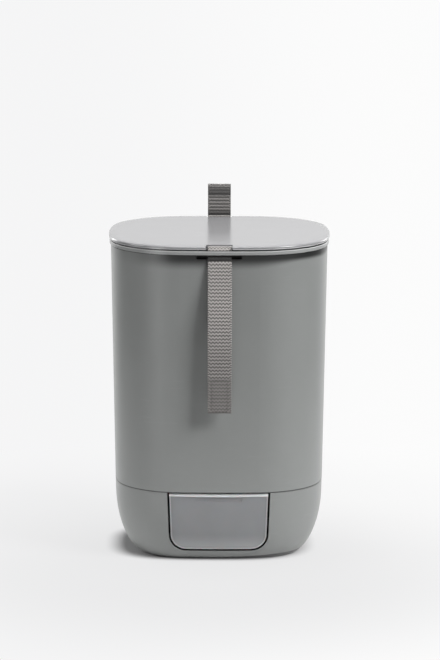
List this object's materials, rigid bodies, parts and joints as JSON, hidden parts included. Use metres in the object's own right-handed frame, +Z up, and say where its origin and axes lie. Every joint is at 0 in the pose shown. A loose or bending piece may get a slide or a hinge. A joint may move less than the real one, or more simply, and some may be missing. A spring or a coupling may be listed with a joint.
{
  "type": "bokashi bin",
  "caption": "Tall rounded bokashi bin: flat airtight lid, tapered bucket on a bowl-like base, frosted pull-out juice cup in front, and webbing straps at front and back.",
  "frame": {"origin": "middle of the base's flat foot, on the surface that the bin stands on", "axes": "+Z up through the lid, -Y to the front with the juice cup, +X to the right seen from the front"},
  "size_m": [0.264, 0.287, 0.4195],
  "materials": {
    "lid_grey": "semi-gloss pale grey injection-moulded plastic",
    "collar_grey": "satin pale grey moulded plastic",
    "bucket_grey": "satin neutral grey moulded plastic",
    "cup_frosted": "frosted, slightly see-through grey plastic with paler edges",
    "strainer_grey": "satin grey moulded plastic",
    "webbing": "taupe grey woven webbing with a chevron weave and a beaded edge",
    "pin_steel": "drawn stainless rod",
    "seal_rubber": "soft dark grey silicone rubber",
    "valve_white": "pale grey moulded plastic",
    "spring_steel": "stainless spring wire"
  },
  "bodies": {
    "base": {"base_shell": "bucket_grey"},
    "juice_cup": {"juice_cup": "cup_frosted"},
    "bucket": {"bucket_shell": "bucket_grey", "rim_collar": "collar_grey", "front_strap_pin": "pin_steel", "rear_strap_pin": "pin_steel", "front_strap_anchor": "webbing", "rear_strap_anchor": "webbing", "valve_body": "valve_white", "valve_gasket": "seal_rubber", "valve_nut": "valve_white"},
    "lid": {"lid_cover": "lid_grey", "lid_seal": "seal_rubber"},
    "strainer": {"strainer_plate": "strainer_grey"},
    "drain_valve": {"valve_stem": "valve_white", "valve_seal": "seal_rubber", "valve_button": "valve_white", "valve_spring": "spring_steel"},
    "front_strap": {"front_strap_fall": "webbing"},
    "rear_strap_stem": {"rear_strap_stem": "webbing"},
    "rear_strap_crest": {"rear_strap_crest": "webbing"},
    "rear_strap_tail": {"rear_strap_tail": "webbing"}
  },
  "joints": [
    {"name": "cup_pull", "type": "slide", "parent": "base", "child": "juice_cup", "axis": [0, -1, 0], "range_m": [0, 0.15]},
    {"name": "bucket_lift", "type": "slide", "parent": "base", "child": "bucket", "axis": [0, 0, 1], "range_m": [0, 0.06]},
    {"name": "lid_lift", "type": "slide", "parent": "bucket", "child": "lid", "axis": [0, 0, 1], "range_m": [0, 0.12]},
    {"name": "strainer_lift", "type": "slide", "parent": "bucket", "child": "strainer", "axis": [0, 0, 1], "range_m": [0, 0.22]},
    {"name": "valve_push", "type": "slide", "parent": "bucket", "child": "drain_valve", "axis": [0, 0, 1], "range_m": [0, 0.005], "stiffness_N_per_m": 200, "springref_m": -0.01, "deforming": ["valve_spring"]},
    {"name": "front_strap_swing", "type": "hinge", "parent": "bucket", "child": "front_strap", "pos_m": [0, -0.1247, 0.36655], "axis": [-1, 0, 0], "range_deg": [0, 165]},
    {"name": "rear_strap_swing", "type": "hinge", "parent": "bucket", "child": "rear_strap_stem", "pos_m": [0, 0.1247, 0.36655], "axis": [-1, 0, 0], "range_deg": [0, 165]},
    {"name": "rear_strap_fold", "type": "hinge", "parent": "rear_strap_stem", "child": "rear_strap_crest", "pos_m": [0, 0.12849, 0.41586], "axis": [-1, 0, 0], "range_deg": [-82.5, 0]},
    {"name": "rear_strap_drop", "type": "hinge", "parent": "rear_strap_crest", "child": "rear_strap_tail", "pos_m": [0, 0.14681, 0.41586], "axis": [-1, 0, 0], "range_deg": [-82.5, 0]}
  ],
  "couplings": [
    {"joint": "rear_strap_fold", "follows": "rear_strap_swing", "ratio": -0.5},
    {"joint": "rear_strap_drop", "follows": "rear_strap_swing", "ratio": -0.5}
  ]
}
